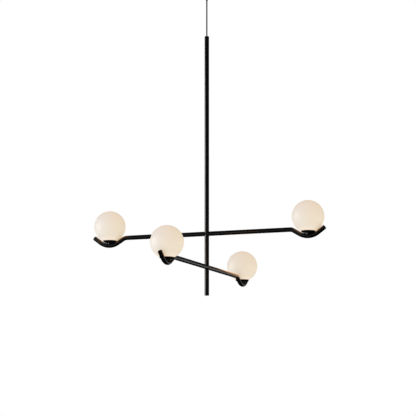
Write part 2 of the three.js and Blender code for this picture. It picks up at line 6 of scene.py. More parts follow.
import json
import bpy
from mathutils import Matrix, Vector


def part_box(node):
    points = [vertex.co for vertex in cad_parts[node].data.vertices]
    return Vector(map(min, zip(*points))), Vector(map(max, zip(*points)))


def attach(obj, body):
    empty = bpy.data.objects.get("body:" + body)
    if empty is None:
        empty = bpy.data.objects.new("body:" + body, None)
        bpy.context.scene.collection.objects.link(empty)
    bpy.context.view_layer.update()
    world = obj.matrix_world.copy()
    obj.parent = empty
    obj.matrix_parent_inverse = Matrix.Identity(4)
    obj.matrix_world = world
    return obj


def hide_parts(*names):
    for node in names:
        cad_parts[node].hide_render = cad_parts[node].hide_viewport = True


bl_info = {
    "name": "Branch Chandelier",
    "version": (1, 0, 0),
    "blender": (4, 5, 0),
    "location": "3D View > Sidebar > Chandelier",
    "description": "Makes the visible pieces and finishes of a branch chandelier",
    "category": "Add Mesh",
}

from itertools import accumulate
from math import acos, asin, cos, pi, radians, sin, sqrt, tan, tau

import bmesh
import bpy
from bpy.props import FloatProperty, FloatVectorProperty, IntProperty, PointerProperty
from bpy.types import Operator, Panel, PropertyGroup
from mathutils import Matrix, Vector

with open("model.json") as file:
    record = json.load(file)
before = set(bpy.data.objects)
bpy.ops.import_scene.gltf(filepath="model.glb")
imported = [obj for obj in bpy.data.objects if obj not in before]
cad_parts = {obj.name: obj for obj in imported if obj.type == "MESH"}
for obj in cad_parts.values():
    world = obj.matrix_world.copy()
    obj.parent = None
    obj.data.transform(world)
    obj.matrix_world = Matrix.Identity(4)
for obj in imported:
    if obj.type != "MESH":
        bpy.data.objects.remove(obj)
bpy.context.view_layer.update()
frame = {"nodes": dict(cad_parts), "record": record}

ENDS = ("right", "left", "back", "front")
QUARTER = pi / 2

# Edge radii, from a barely broken edge to a soft one
BROKEN, FINE, LIGHT, EASED, SOFT, ROUND = 0.0002, 0.0003, 0.0004, 0.0005, 0.0006, 0.0008

# Angles in degrees beyond which an edge between two faces stays sharp
TURNED_EDGE, TUBE_EDGE, THREAD_EDGE = 35.0, 40.0, 60.0

# Radius below which a point of a half section lies on the axis
ON_AXIS = 1e-9

# Steps round an eased corner and a turn of thread, and facets round the thread's ridge
ROUND_STEPS, THREAD_STEPS, THREAD_SIDES = 5, 48, 8


def settings(name):
    """The scene's group of properties with this name."""
    return getattr(bpy.context.scene, f"chandelier_{name}")


def upwards(height):
    """A vector straight up, by a height."""
    return Vector((0.0, 0.0, height))


def length(name, default, description):
    return FloatProperty(
        name=name,
        description=description,
        default=default,
        min=0.0,
        precision=4,
        subtype="DISTANCE",
        unit="LENGTH",
    )


def slope(name, degrees, description):
    return FloatProperty(
        name=name,
        description=description,
        default=radians(degrees),
        subtype="ANGLE",
        unit="ROTATION",
    )


def colour(name, default, description):
    return FloatVectorProperty(
        name=name,
        description=description,
        default=default,
        min=0.0,
        max=1.0,
        size=3,
        subtype="COLOR",
    )


def share(name, default, description):
    return FloatProperty(
        name=name, description=description, default=default, min=0.0, max=1.0, subtype="FACTOR"
    )


def strength(name, default, description):
    return FloatProperty(name=name, description=description, default=default, min=0.0)


def place(name, default, description):
    return FloatVectorProperty(
        name=name,
        description=description,
        default=default,
        size=3,
        subtype="TRANSLATION",
        unit="LENGTH",
    )


def count(name, default, description):
    return IntProperty(name=name, description=description, default=default, min=8)


# Sizes


class ArmSizes(PropertyGroup):
    """Tube stock and the bend table of an arm."""

    tube: length("Tube", 0.020, "Outer diameter of the arm and stem tubes")
    wall: length("Wall", 0.0015, "Wall of the tubes")
    saddle_drop: length("Saddle drop", 0.0313, "Arm axis down to the saddle's lowest centre point")
    shoulder: length("Shoulder radius", 0.036, "Centreline radius of the bend before the saddle")
    saddle: length("Saddle radius", 0.076, "Centreline radius of the saddle")
    down: slope("Slope down", 31.0, "Slope of the tube into the saddle")
    up: slope("Slope up", 36.5, "Slope of the tip out of the saddle")
    tip: length("Tip", 0.037, "Straight tube past the saddle's bend, with its plug")
    plug_flange: length("Plug flange", 0.0016, "Thickness of the plug that closes the tip")
    plug_depth: length("Plug depth", 0.008, "How far the plug goes into the tube")
    seat_gap: length("Seat gap", 0.0003, "Gap between pieces that seat on each other")
    sides: count("Sides", 48, "Facets round a tube")
    bend_step: slope("Bend step", 3.0, "Angle between two stations of a bend")


class StemSizes(PropertyGroup):
    """Caps and corner radii of the stem."""

    top_cap: length("Top cap", 0.011, "Visible height of the top cap")
    top_round: length("Top cap round", 0.0025, "Edge radius of the top cap")
    foot_cap: length("Foot cap", 0.009, "Visible height of the foot cap")
    foot_round: length("Foot cap round", 0.0015, "Edge radius of the foot cap")
    spigot: length("Spigot", 0.013, "How far a cap goes into the tube")
    rod: length("Tie rod", 0.006, "Diameter of the rod screwed into the foot cap")
    cable_bore: length("Cable bore", 0.0068, "Bore of the top cap and the canopy collar")


class LampSizes(PropertyGroup):
    """Dish, lampholder, bulb, globe and neck ring, measured up from the underside of the dish."""

    dish_rise: length("Dish rise", 0.0016, "Top line of the tube to the underside of the dish")
    nipple_hole: length("Nipple hole", 0.0053, "Radius of the hole for the threaded nipple")
    dish: length("Dish", 0.065, "Diameter of the dish")
    dish_depth: length("Dish depth", 0.0101, "Height of the dish")
    dish_wall: length("Dish wall", 0.0012, "Sheet thickness of the dish")
    dish_floor: length("Dish floor", 0.018, "Diameter of the dish's flat floor")
    washer: length("Washer", 0.016, "Diameter of the saddle washer between tube and dish")
    washer_skirt: length("Washer skirt", 0.003, "How far that washer reaches down the tube's sides")
    holder_rise: length("Holder rise", 0.0048, "Underside of the lampholder")
    recess: length("Recess", 0.004, "Depth of the nipple's hole in the lampholder")
    holder_base: length("Holder base", 0.024, "Diameter of the lampholder's base")
    holder_skirt: length("Holder skirt", 0.031, "Diameter of the threaded skirt")
    holder_body: length("Holder body", 0.019, "Diameter of the lampholder's upper body")
    base_height: length("Base height", 0.003, "Height of the base")
    skirt_height: length("Skirt height", 0.006, "Height of the threaded skirt")
    body_height: length("Body height", 0.014, "Height of the upper body")
    thread_pitch: length("Thread pitch", 0.002, "Pitch of the lampholder's thread")
    thread_depth: length("Thread depth", 0.0006, "Depth of the lampholder's thread")
    pin_spacing: length("Pin spacing", 0.009, "Centre distance of the bulb's pins")
    pin_width: length("Pin width", 0.002, "Width of a pin")
    pin_thickness: length("Pin thickness", 0.001, "Thickness of a pin")
    pin_length: length("Pin length", 0.012, "Length of a pin below the bulb")
    running_gap: length("Running gap", 0.0004, "Gap round a pin and round the skirt")
    bulb: length("Bulb", 0.016, "Diameter of the bulb")
    bulb_length: length("Bulb length", 0.038, "Length of the bulb without its pins")
    bulb_base: length("Bulb base", 0.008, "Height of the bulb's plain base")
    globe: length("Globe", 0.140, "Outer diameter of a globe")
    glass: length("Glass", 0.003, "Wall of a globe")
    mouth: length("Mouth", 0.044, "Diameter of a globe's mouth")
    mouth_round: length("Mouth round", 0.0011, "Edge radius of that mouth")
    ring_flange: length("Ring flange", 0.047, "Diameter of the neck ring's flange")
    flange_height: length("Flange height", 0.0017, "Thickness of the neck ring's flange")
    ring_rise: length("Ring rise", 0.0053, "Neck ring above its flange")
    sides: count("Sides", 96, "Facets round a turned piece")
    bulb_sides: count("Bulb sides", 64, "Facets round a bulb")


class CanopySizes(PropertyGroup):
    """Canopy cup and the tapered collar that clamps it on the cable."""

    cup: length("Cup", 0.120, "Diameter of the canopy")
    depth: length("Depth", 0.036, "Ceiling to the canopy's floor")
    wall: length("Wall", 0.0012, "Sheet thickness of the canopy")
    edge: length("Edge", 0.007, "Outer radius of the canopy's edge")
    ceiling_gap: length("Ceiling gap", 0.0005, "Gap between the canopy and the ceiling")
    collar: length("Collar", 0.016, "Diameter of the collar")
    collar_spigot: length("Collar spigot", 0.010, "Diameter of its spigot in the canopy's floor")
    collar_grip: length("Collar grip", 0.012, "Straight part of the collar, which holds the screw")
    collar_tip: length("Collar tip", 0.0078, "Lower end of the collar's tapered strain relief")
    collar_nose: length("Collar nose", 0.0075, "Slim lower part of that strain relief")
    nose_hollow: length("Nose hollow", 0.006, "Radius between that nose and the taper")
    collar_round: length("Collar round", 0.003, "Radius between the taper and the grip")
    screw: length("Screw", 0.003, "Diameter of the collar's screw")
    cable: length("Cable", 0.006, "Diameter of the supply cable")
    sides: count("Sides", 128, "Facets round the canopy, with half of them round its collar")


class Finishes(PropertyGroup):
    """Colours of the finishes."""

    coat: colour("Coat", (0.0018, 0.0017, 0.0015), "Satin black coat")
    coat_worn: colour("Coat, paler", (0.0040, 0.0037, 0.0033), "Paler patches of the black coat")
    coat_roughness: share("Coat roughness", 0.25, "Roughness of the black coat")
    glass: colour("Opal glass", (0.71, 0.72, 0.73), "Opal glass, unlit")
    glow_low: colour("Glow, low", (1.0, 0.75, 0.48), "Light through the glass beside its mouth")
    glow_middle: colour("Glow, middle", (0.80, 0.60, 0.32), "Light through the middle of the globe")
    glow_high: colour("Glow, high", (0.72, 0.47, 0.22), "Light through the top of the globe")
    glow: strength("Glow", 0.615, "Strength of the light through the glass")
    lamp: colour("Lamp", (1.0, 0.50, 0.17), "Colour of a lit globe where metal reflects it")
    lamp_boost: strength("Lamp boost", 3.4, "Strength of that reflection, over the glow")
    ceramic: colour("Ceramic", (0.80, 0.78, 0.73), "Glazed ceramic of the lampholders")
    bulb: colour("Bulb", (1.0, 0.78, 0.50), "Light of a bulb")
    bulb_glow: strength("Bulb glow", 0.5, "Strength of a bulb's light")
    steel: colour("Steel", (0.62, 0.63, 0.65), "Zinc plated steel")
    brass: colour("Brass", (0.75, 0.55, 0.27), "Turned brass")
    cable: colour("Cable", (0.016, 0.016, 0.017), "Cable sheath")
    moulding: colour("Moulding", (0.018, 0.018, 0.018), "Black moulded ring")
    polyamide: colour("Polyamide", (0.72, 0.72, 0.68), "Natural polyamide")
    sleeve: colour("Sleeve", (0.74, 0.72, 0.67), "Woven sleeve of the leads")
    floor: colour("Floor", (0.9, 0.9, 0.9), "Studio floor")


class StageSettings(PropertyGroup):
    """Camera, lights and floor."""

    camera: place("Camera", (2.5145, -6.6683, -2.0863), "Place of the camera")
    heading: slope("Heading", 20.618, "Camera's heading, from +Y towards -X")
    pitch: slope("Pitch", 8.662, "Camera's angle above level")
    lens: FloatProperty(
        name="Lens",
        description="Focal length in millimetres",
        default=141.72,
        min=1.0,
        unit="CAMERA",
    )
    floor: length("Floor", 3.0, "Ceiling to the floor")
    aim: length("Aim", 1.15, "Ceiling to the height that the lights face")
    key: strength("Key light", 50.0, "Power of the soft light at the left, in watts")
    key_tint: colour("Key tint", (0.10, 0.45, 1.0), "Colour of the key light")
    key_place: place("Key place", (-3.6, -2.9, -0.2), "Place of the key light")
    key_width: length("Key width", 3.6, "Width of the key light")
    key_height: length("Key height", 2.2, "Height of the key light")
    softbox: strength("Softbox", 180.0, "Power of the light that only reflections show, in watts")
    softbox_tint: colour("Softbox tint", (0.98, 0.99, 1.0), "Colour of the softbox")
    softbox_place: place("Softbox place", (-4.1, -1.5, -0.8), "Place of the softbox")
    softbox_width: length("Softbox width", 3.0, "Width of the softbox")
    softbox_height: length("Softbox height", 2.6, "Height of the softbox")
    daylight: strength("Daylight", 0.55, "Strength of the even light from all round")
    mirror: strength("Mirror", 1.0, "Strength of the pale horizon in reflections")
    mirror_dark: strength("Mirror, dark", 0.03, "Strength of the studio above and below it")
    horizon: share("Horizon", 0.13, "How far below level the middle of that horizon lies")


# Nodes


def scaled(tint, factor):
    return [channel * factor for channel in tint]


class Value:
    """A node's output. Numbers can be used in arithmetic, which adds the maths nodes."""

    def __init__(self, tree, socket):
        self.tree = tree
        self.socket = socket

    def maths(self, operation, *values):
        return self.tree.node("ShaderNodeMath", {"operation": operation}, *values)

    def __add__(self, other):
        return self.maths("ADD", self, other)

    def __sub__(self, other):
        return self.maths("SUBTRACT", self, other)

    def __rsub__(self, other):
        return self.maths("SUBTRACT", other, self)

    def __mul__(self, other):
        return self.maths("MULTIPLY", self, other)

    def __abs__(self):
        return self.maths("ABSOLUTE", self)

    __radd__ = __add__
    __rmul__ = __mul__

    def most(self, other):
        return self.maths("MAXIMUM", self, other)

    def steps(self, low, high):
        """0 at low, 1 at high, smooth between them."""
        smooth_step = {"interpolation_type": "SMOOTHSTEP"}
        return self.tree.node("ShaderNodeMapRange", smooth_step, self, low, high)


class Tree:
    """A node tree, with a method that adds any node."""

    def __init__(self, tree):
        self.tree = tree
        self.tree.nodes.clear()

    def node(self, kind, choices=None, *values, out=0, **named):
        """Adds a node: its choices first, then the values or links of its sockets."""
        made = self.tree.nodes.new(kind)
        for key, choice in (choices or {}).items():
            setattr(made, key, choice)
        sockets = {socket.name.replace(" ", "_"): socket for socket in reversed(made.inputs)}
        sockets.update({socket.identifier: socket for socket in made.inputs})
        pairs = [*zip(made.inputs, values), *((sockets[key], v) for key, v in named.items())]
        for socket, value in pairs:
            if isinstance(value, Value):
                self.tree.links.new(value.socket, socket)
            elif value is not None:
                full = socket.type == "RGBA" and len(value) == 3
                socket.default_value = (*value, 1.0) if full else value
        outputs = {socket.name: socket for socket in reversed(made.outputs)}
        outputs.update({socket.identifier: socket for socket in made.outputs})
        return Value(self, outputs.get(out, made.outputs[0])) if outputs else None

    def ray(self, kind):
        """1 for the rays of a kind, and 0 for all others."""
        return self.node("ShaderNodeLightPath", out=f"Is {kind} Ray")


class Look(Tree):
    """A material's tree, with the patterns that the finishes share."""

    def __init__(self, name):
        self.material = bpy.data.materials.new(name)
        self.material.use_nodes = True
        super().__init__(self.material.node_tree)

    def place(self, turn=(0.0, 0.0, 0.0), scale=(1.0, 1.0, 1.0)):
        """Points of the object, turned and stretched for a pattern."""
        points = self.node("ShaderNodeTexCoord", out="Object")
        return self.node("ShaderNodeMapping", None, points, Rotation=turn, Scale=scale)

    def noise(self, scale, detail=2.0, where=None):
        where = where or self.place()
        return self.node("ShaderNodeTexNoise", None, where, Scale=scale, Detail=detail)

    def bands(self, direction, scale, where=None, distortion=0.0):
        return self.node(
            "ShaderNodeTexWave",
            {"wave_type": "BANDS", "bands_direction": direction},
            where or self.place(),
            Scale=scale,
            Distortion=distortion,
            out="Fac",
        )

    def mix(self, factor, first, second):
        sockets = {"Factor_Float": factor, "A_Color": first, "B_Color": second}
        return self.node("ShaderNodeMix", {"data_type": "RGBA"}, out="Result_Color", **sockets)

    def patched(self, factor, tint, shade):
        """A tint with patches of it that are lighter or darker by a shade."""
        return self.mix(factor, tint, scaled(tint, shade))

    def bump(self, height, distance, amount):
        return self.node("ShaderNodeBump", Strength=amount, Distance=distance, Height=height)

    def surface(self, tint, roughness, relief=None, **sockets):
        """Ends the tree in one principled surface."""
        sockets.update(Base_Color=tint, Roughness=roughness, Normal=relief)
        self.output(Surface=self.node("ShaderNodeBsdfPrincipled", **sockets))
        return self.material

    def output(self, **sockets):
        self.node("ShaderNodeOutputMaterial", **sockets)


class Recipe(Tree):
    """A Geometry Nodes tree with named inputs, the last of them its material."""

    def __init__(self, name, **inputs):
        group = bpy.data.node_groups.new(name, "GeometryNodeTree")
        super().__init__(group)
        for key, kind in {**inputs, "Material": "Material"}.items():
            group.interface.new_socket(key, in_out="INPUT", socket_type=f"NodeSocket{kind}")
        group.interface.new_socket("Geometry", in_out="OUTPUT", socket_type="NodeSocketGeometry")
        self.entry = group.nodes.new("NodeGroupInput")

    def given(self, name):
        return Value(self, self.entry.outputs[name])

    def finish(self, geometry):
        real = self.node("GeometryNodeRealizeInstances", None, geometry)
        material = self.given("Material")
        coated = self.node("GeometryNodeSetMaterial", None, real, Material=material)
        self.node("NodeGroupOutput", None, coated)
        return self.tree


# Finishes


def satin_black(look, finishes):
    """Powder coat: a fine orange peel with slow changes of sheen."""
    cloud = look.noise(9.0, 3.0)
    peel = look.noise(620.0)
    return look.surface(
        look.mix(cloud.steps(0.35, 0.75), finishes.coat, finishes.coat_worn),
        roughness=finishes.coat_roughness - 0.05 + cloud * 0.08 + peel * 0.03,
        Specular_IOR_Level=0.45,
        relief=look.bump(peel, distance=0.00001, amount=0.5),
    )


def opal_glass(look, finishes):
    """Cased opal glass that a warm lamp shines through, brightest beside its mouth."""
    rise = look.node("ShaderNodeAttribute", {"attribute_name": "rise"}, out="Fac")
    cloud = look.noise(18.0)
    level = rise + (cloud - 0.5) * 0.04
    low = look.mix(level.steps(0.0, 0.16), finishes.glow_low, finishes.glow_middle)
    glow = look.mix(level.steps(0.2, 1.0), low, finishes.glow_high)
    # Reflections see the globe in the lamp colour, brighter than its glow: a painted warm
    # reflection on the black metal beside it
    mirrored, lit = look.ray("Glossy"), scaled(finishes.lamp, finishes.lamp_boost)
    look.material.cycles.emission_sampling = "NONE"
    return look.surface(
        look.patched(cloud.steps(0.3, 0.7), finishes.glass, 0.98),
        roughness=0.42 + cloud * 0.06,
        Specular_IOR_Level=0.18,
        Emission_Color=look.mix(mirrored, glow, lit),
        Emission_Strength=finishes.glow,
        relief=look.bump(look.noise(240.0), distance=0.00003, amount=0.4),
    )


def glazed_ceramic(look, finishes):
    cloud = look.noise(120.0, 3.0)
    speck = look.noise(900.0, 1.0)
    return look.surface(
        look.patched(cloud.steps(0.4, 0.8), finishes.ceramic, 0.9),
        roughness=0.22 + cloud * 0.16,
        Coat_Weight=0.4,
        Coat_Roughness=0.12,
        relief=look.bump(speck, distance=0.00003, amount=0.5),
    )


def frosted_bulb(look, finishes):
    cloud = look.noise(160.0)
    pale = [0.6 + 0.4 * channel for channel in finishes.bulb]
    return look.surface(
        look.mix(cloud, (0.62, 0.60, 0.55), (0.56, 0.53, 0.48)),
        roughness=0.42 + cloud * 0.1,
        Emission_Color=look.mix(cloud, finishes.bulb, pale),
        Emission_Strength=finishes.bulb_glow,
    )


def zinc_steel(look, finishes):
    """Bright zinc: faint spangle under fine streaks."""
    cells = {"Vector": look.place(), "Scale": 420.0}
    grain = look.node("ShaderNodeTexVoronoi", {"feature": "F1"}, out="Distance", **cells)
    streak = look.noise(60.0, 4.0, look.place(scale=(1.0, 1.0, 12.0)))
    return look.surface(
        look.patched(grain.steps(0.1, 0.7), finishes.steel, 0.72),
        roughness=0.24 + streak * 0.22,
        Metallic=0.7,
        relief=look.bump(streak, distance=0.00002, amount=0.4),
    )


def turned_brass(look, finishes):
    """Brass with the fine rings that a lathe tool leaves."""
    rings = look.bands("Z", 520.0, distortion=1.5)
    cloud = look.noise(150.0, 3.0)
    return look.surface(
        look.patched(cloud.steps(0.4, 0.8), finishes.brass, 0.7),
        roughness=0.22 + cloud * 0.18,
        Metallic=0.7,
        relief=look.bump(rings, distance=0.00002, amount=0.6),
    )


def cable_sheath(look, finishes):
    """Matt rubber sheath, with the faint lines that its die leaves along it."""
    lines = look.noise(900.0, 2.0, look.place(scale=(1.0, 1.0, 0.02)))
    dust = look.noise(55.0, 4.0)
    return look.surface(
        look.patched(dust.steps(0.4, 0.8), finishes.cable, 1.9),
        roughness=0.52 + dust * 0.14,
        Specular_IOR_Level=0.4,
        relief=look.bump(lines, distance=0.00005, amount=0.5),
    )


def moulded_black(look, finishes):
    """Spark-textured black moulding."""
    spark = look.noise(1500.0, 3.0)
    cloud = look.noise(70.0)
    return look.surface(
        look.patched(cloud, finishes.moulding, 1.6),
        roughness=0.5 + spark * 0.15,
        relief=look.bump(spark, distance=0.00005, amount=0.8),
    )


def polyamide(look, finishes):
    cloud = look.noise(90.0, 3.0)
    warm = [c * t for c, t in zip(finishes.polyamide, (0.96, 0.93, 0.86))]
    return look.surface(
        look.mix(cloud.steps(0.3, 0.8), finishes.polyamide, warm),
        roughness=0.42 + cloud * 0.12,
        relief=look.bump(look.noise(1200.0, 1.0), distance=0.00002, amount=0.5),
    )


def woven_sleeve(look, finishes):
    """Braided heat-proof sleeve: two families of threads that cross on the slant."""
    families = [
        look.bands("X", 330.0, look.place(turn=(0.0, turn, turn)))
        for turn in (radians(45), radians(-45))
    ]
    weave = families[0].most(families[1])
    shade = scaled(finishes.sleeve, 0.6)
    return look.surface(
        look.mix(weave, shade, finishes.sleeve),
        roughness=0.6 + weave * 0.2,
        relief=look.bump(weave, distance=0.00015, amount=0.8),
    )


FINISH_MAKERS = {
    "satin_black": satin_black,
    "opal_glass": opal_glass,
    "ceramic": glazed_ceramic,
    "bulb": frosted_bulb,
    "zinc_steel": zinc_steel,
    "brass": turned_brass,
    "cable": cable_sheath,
    "ring_black": moulded_black,
    "polyamide": polyamide,
    "wire": woven_sleeve,
}


def finish_named(slot):
    name = f"{slot}_finish"
    made = bpy.data.materials.get(name)
    return made or FINISH_MAKERS[slot](Look(name), settings("finishes"))


# Meshes


def arc(centre, radius, start, end, steps):
    """Points of an arc in a half section, both ends included."""
    across, up = centre
    angles = [start + (end - start) * i / steps for i in range(steps + 1)]
    return [(across + radius * cos(a), up + radius * sin(a)) for a in angles]


def eased(*corners):
    """Rounds each corner of a half section by the radius that is its third number."""
    points = []
    for i, corner in enumerate(corners):
        radius = corner[2] if len(corner) > 2 else 0.0
        here = Vector(corner[:2])
        if not radius:
            points.append(tuple(here))
            continue
        before = (Vector(corners[i - 1][:2]) - here).normalized()
        after = (Vector(corners[(i + 1) % len(corners)][:2]) - here).normalized()
        half = before.angle(after) / 2
        reach = radius / tan(half)
        middle = here + (before + after).normalized() * (radius / sin(half))
        first, last = here + before * reach - middle, here + after * reach - middle
        swing = first.angle_signed(last)
        for j in range(ROUND_STEPS + 1):
            spoke = first.copy()
            spoke.rotate(Matrix.Rotation(-swing * j / ROUND_STEPS, 2))
            points.append(tuple(middle + spoke))
    return points


def rim(first, second, radius):
    """The rounded edge between two skins of a shell, each given as a list of points."""
    return eased(first[-2], (*first[-1], radius), (*second[0], radius), second[1])[1:-1]


def around(sides):
    """Directions of the points of a ring."""
    angles = [tau * i / sides for i in range(sides)]
    return [(cos(angle), sin(angle)) for angle in angles]


def lofted(name, rings, sides, closed, sharp, at):
    """A skin through rings of points. A ring of one point is a pole."""
    vertices, numbers = [], []
    for ring in rings:
        numbers.append([len(vertices) + i % len(ring) for i in range(sides)])
        vertices += ring
    faces = []
    for low, high in zip(numbers, numbers[1:] + (numbers[:1] if closed else [])):
        for i in range(sides):
            j = (i + 1) % sides
            faces.append(list(dict.fromkeys((low[i], low[j], high[j], high[i]))))
    mesh = bpy.data.meshes.new(name)
    mesh.from_pydata(vertices, [], faces)
    mesh.transform(Matrix.Translation(at))
    smooth(mesh, sharp)
    return mesh


def turned(name, profile, sides, at=(0.0, 0.0, 0.0), closed=False):
    """Spins a half section round the vertical line through a point.

    The section runs anticlockwise. An open one starts and ends on the axis.
    """
    rings = [
        [(radius * x, radius * y, height) for x, y in around(1 if radius < ON_AXIS else sides)]
        for radius, height in profile
    ]
    return lofted(name, rings, sides, closed, TURNED_EDGE, at)


def coped_tube(name, radii, sides, low, high, at=(0.0, 0.0, 0.0)):
    """An upright tube. Each end is a function of the place round it, so that it can fit an arm."""
    outer, inner = radii
    rings = []
    for reach, end in ((outer, low), (outer, high), (inner, high), (inner, low)):
        points = [(reach * x, reach * y) for x, y in around(sides)]
        rings.append([(x, y, end(x, y)) for x, y in points])
    return lofted(name, rings, sides, True, TUBE_EDGE, at)


def smooth(mesh, sharp):
    mesh.shade_smooth()
    mesh.set_sharp_from_angle(angle=radians(sharp))
    mesh.update()


def drained(name, made):
    """The plain mesh of an editable one, which is freed."""
    mesh = bpy.data.meshes.new(name)
    made.to_mesh(mesh)
    made.free()
    return mesh


def box_mesh(name, size, centre):
    made = bmesh.new()
    bmesh.ops.create_cube(made, size=1.0)
    bmesh.ops.scale(made, vec=size, verts=made.verts)
    bmesh.ops.translate(made, vec=centre, verts=made.verts)
    return drained(name, made)


def linked(name, data):
    """A new object in the scene."""
    made = bpy.data.objects.new(name, data)
    bpy.context.scene.collection.objects.link(made)
    return made


def joined(name, *meshes):
    """One mesh of several, each with its own materials."""
    parts = [linked(name, mesh) for mesh in meshes]
    bpy.ops.object.select_all(action="DESELECT")
    for part in parts:
        part.select_set(True)
    bpy.context.view_layer.objects.active = parts[0]
    bpy.ops.object.join()
    mesh = parts[0].data
    bpy.data.objects.remove(parts[0])
    mesh.name = name
    return mesh


def carved(name, mesh, *cutters):
    """A mesh less its cutters."""
    body = linked(name, mesh)
    tools = [linked(f"{name}_cutter", cutter) for cutter in cutters]
    for tool in tools:
        cut = body.modifiers.new("Cut", "BOOLEAN")
        cut.operation, cut.solver, cut.object = "DIFFERENCE", "EXACT", tool
    result = evaluated(body)
    for tool in [body, *tools]:
        bpy.data.objects.remove(tool)
    smooth(result, TURNED_EDGE)
    return result


def evaluated(carrier):
    bpy.context.view_layer.update()
    depsgraph = bpy.context.evaluated_depsgraph_get()
    return bpy.data.meshes.new_from_object(carrier.evaluated_get(depsgraph))


def painted(mesh, *slots):
    mesh.materials.clear()
    for slot in slots:
        mesh.materials.append(finish_named(slot))
    return mesh


def piece(mesh, body, slot, *nodes, name=None):
    """A finished piece, on its body and in place of its nodes. A bare mesh is painted first."""
    if not any(mesh.materials):
        painted(mesh, slot)
    made = linked(name or mesh.name, mesh)
    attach(made, body)
    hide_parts(*nodes)
    return made


# Geometry Nodes


def round_section(recipe, sides, radius):
    circle = {"Resolution": sides, "Radius": radius}
    return recipe.node("GeometryNodeCurvePrimitiveCircle", {"mode": "RADIUS"}, **circle)


def swept_tube_recipe():
    """A round section along a curve, its ends open or closed."""
    recipe = Recipe("Swept tube", Geometry="Geometry", Radius="Float", Sides="Int", Ends="Bool")
    curve, ends = recipe.given("Geometry"), recipe.given("Ends")
    section = round_section(recipe, recipe.given("Sides"), recipe.given("Radius"))
    tube = recipe.node("GeometryNodeCurveToMesh", None, curve, section, Fill_Caps=ends)
    return recipe.finish(tube)


def thread_recipe():
    """A raised helix for a screw thread."""
    sizes = {key: "Float" for key in ("Radius", "Turns", "Height", "Crest")}
    recipe = Recipe("Screw thread", Geometry="Geometry", **sizes, Base="Vector")
    helix = recipe.node(
        "GeometryNodeCurveSpiral",
        Resolution=THREAD_STEPS,
        Rotations=recipe.given("Turns"),
        Start_Radius=recipe.given("Radius"),
        End_Radius=recipe.given("Radius"),
        Height=recipe.given("Height"),
    )
    section = round_section(recipe, THREAD_SIDES, recipe.given("Crest"))
    ridge = recipe.node("GeometryNodeCurveToMesh", None, helix, section, Fill_Caps=True)
    placed = recipe.node("GeometryNodeTransform", None, ridge, Translation=recipe.given("Base"))
    return recipe.finish(placed)


def grown(name, recipe, source, **inputs):
    """The plain mesh that a recipe makes on a carrier."""
    carrier = linked(name, source)
    modifier = carrier.modifiers.new("Recipe", "NODES")
    modifier.node_group = recipe
    for item in recipe.interface.items_tree:
        if item.in_out == "INPUT" and item.name in inputs:
            modifier[item.identifier] = inputs[item.name]
    mesh = evaluated(carrier)
    carrier.modifiers.clear()
    bpy.data.objects.remove(carrier)
    mesh.name = name
    return mesh


def line_curve(name, points):
    curve = bpy.data.curves.new(name, "CURVE")
    curve.dimensions = "3D"
    curve.twist_mode = "Z_UP"
    spline = curve.splines.new("POLY")
    spline.points.add(len(points) - 1)
    for point, place in zip(spline.points, points):
        point.co = (*place, 1.0)
    return curve


def walled(name, outer, bore):
    """Joins a tube's outside and its bore, turned inwards, and closes the two rings of its ends."""
    made = bmesh.new()
    made.from_mesh(bore)
    bmesh.ops.reverse_faces(made, faces=made.faces)
    made.from_mesh(outer)
    rims = [edge for edge in made.edges if edge.is_boundary]
    reached = {}
    for edge in rims:
        middle = (edge.verts[0].co + edge.verts[1].co) / 2
        reached.setdefault(middle.dot(Vector((1.0, 1.0, 0.0))) > 0, []).append(edge)
    for pair in reached.values():
        bmesh.ops.bridge_loops(made, edges=pair)
    bmesh.ops.recalc_face_normals(made, faces=made.faces)
    mesh = drained(name, made)
    smooth(mesh, TUBE_EDGE)
    return mesh


# Arms


def seat_of(end):
    """The middle of the dish's underside."""
    low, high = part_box(f"dish_{end}")
    return Vector(((low.x + high.x) / 2, (low.y + high.y) / 2, low.z))


def outward(end):
    """Direction and distance from the stem's axis to a dish."""
    seat = seat_of(end)
    level = Vector((seat.x, seat.y, 0.0))
    return level.normalized(), level.length


def arm_axis(end, arms, lamps):
    """Height of an arm's axis."""
    return seat_of(end).z - lamps.dish_rise - arms.tube / 2 + arms.saddle_drop


def half_route(arms, reach):
    """An arm's centreline from the stem to its tip, as (distance, height) points."""
    drop = arms.saddle_drop - (arms.shoulder + arms.saddle) * (1 - cos(arms.down))
    run = drop / sin(arms.down)
    level = reach - (arms.shoulder + arms.saddle) * sin(arms.down) - run * cos(arms.down)
    down_steps = round(arms.down / arms.bend_step)
    saddle_steps = round((arms.down + arms.up) / arms.bend_step)
    points = arc((level, -arms.shoulder), arms.shoulder, QUARTER, QUARTER - arms.down, down_steps)
    lowest = (reach, arms.saddle - arms.saddle_drop)
    points += arc(lowest, arms.saddle, -QUARTER - arms.down, -QUARTER + arms.up, saddle_steps)
    across, height = points[-1]
    straight = arms.tip - arms.plug_flange - arms.seat_gap
    points.append((across + straight * cos(arms.up), height + straight * sin(arms.up)))
    return points


